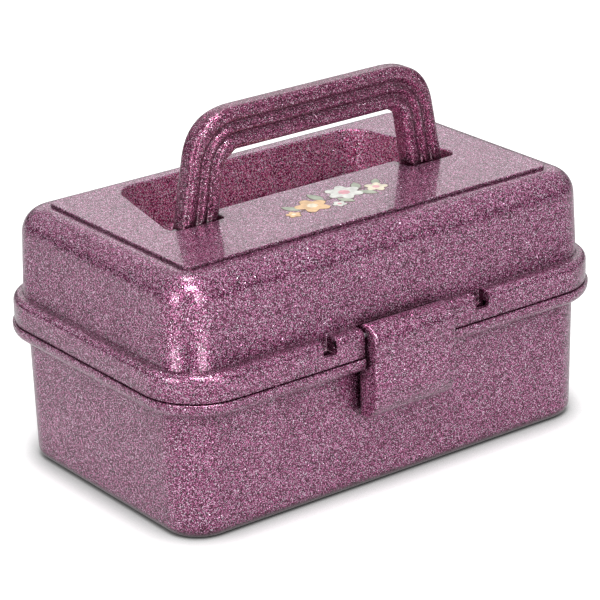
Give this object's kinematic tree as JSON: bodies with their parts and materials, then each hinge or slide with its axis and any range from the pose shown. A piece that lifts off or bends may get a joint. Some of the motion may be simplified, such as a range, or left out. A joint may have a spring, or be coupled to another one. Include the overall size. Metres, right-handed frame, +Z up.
{
  "type": "grooming case",
  "caption": "Small moulded grooming case with a deep hinged lid, a ribbed fold-down handle, a swinging front latch and a tray that rises as the lid opens.",
  "frame": {"origin": "centre of the flat underside, on the surface that the case stands on", "axes": "+X along the case to the right, -Y out of the front with the latch, +Z up"},
  "size_m": [0.25, 0.1736, 0.1748],
  "materials": {
    "shell": "glossy moulded plastic filled with fine purple-pink glitter",
    "handle": "glossy moulded plastic filled with fine purple-pink glitter, a little darker",
    "tray": "satin moulded plastic, pale lilac",
    "steel": "drawn steel wire"
  },
  "bodies": {
    "base": {"base_tub": "shell", "hinge_pin_left": "steel", "hinge_pin_right": "steel", "arm_base_pin_left": "steel", "arm_base_pin_right": "steel"},
    "lid": {"lid_shell": "shell", "handle_pin_left": "steel", "handle_pin_right": "steel", "latch_pin": "steel", "tray_lid_pin_left": "steel", "tray_lid_pin_right": "steel"},
    "handle": {"carry_handle": "handle"},
    "latch": {"latch": "shell"},
    "tray": {"tray": "tray", "arm_tray_pin_left": "steel", "arm_tray_pin_right": "steel"},
    "arm_left": {"tray_arm_left": "tray"},
    "arm_right": {"tray_arm_right": "tray"}
  },
  "joints": [
    {"name": "lid_hinge", "type": "hinge", "parent": "base", "child": "lid", "pos_m": [0, 0.084, 0.0695], "axis": [-1, 0, 0], "range_deg": [0, 100]},
    {"name": "handle_fold", "type": "hinge", "parent": "lid", "child": "handle", "pos_m": [0, -0.0085, 0.1193], "axis": [-1, 0, 0], "range_deg": [0, 90]},
    {"name": "latch_swing", "type": "hinge", "parent": "lid", "child": "latch", "pos_m": [0, -0.0766, 0.0791], "axis": [-1, 0, 0], "range_deg": [0, 105]},
    {"name": "tray_pivot", "type": "hinge", "parent": "lid", "child": "tray", "pos_m": [0, 0.038, 0.0745], "axis": [-1, 0, 0], "range_deg": [-100, 0]},
    {"name": "arm_left_pivot", "type": "hinge", "parent": "base", "child": "arm_left", "pos_m": [-0.1087, 0.006, 0.058], "axis": [-1, 0, 0], "range_deg": [0, 100]},
    {"name": "arm_right_pivot", "type": "hinge", "parent": "base", "child": "arm_right", "pos_m": [0.1087, 0.006, 0.058], "axis": [-1, 0, 0], "range_deg": [0, 100]}
  ],
  "couplings": [
    {"joint": "tray_pivot", "follows": "lid_hinge", "ratio": -1},
    {"joint": "arm_left_pivot", "follows": "lid_hinge", "ratio": 1},
    {"joint": "arm_right_pivot", "follows": "lid_hinge", "ratio": 1}
  ]
}
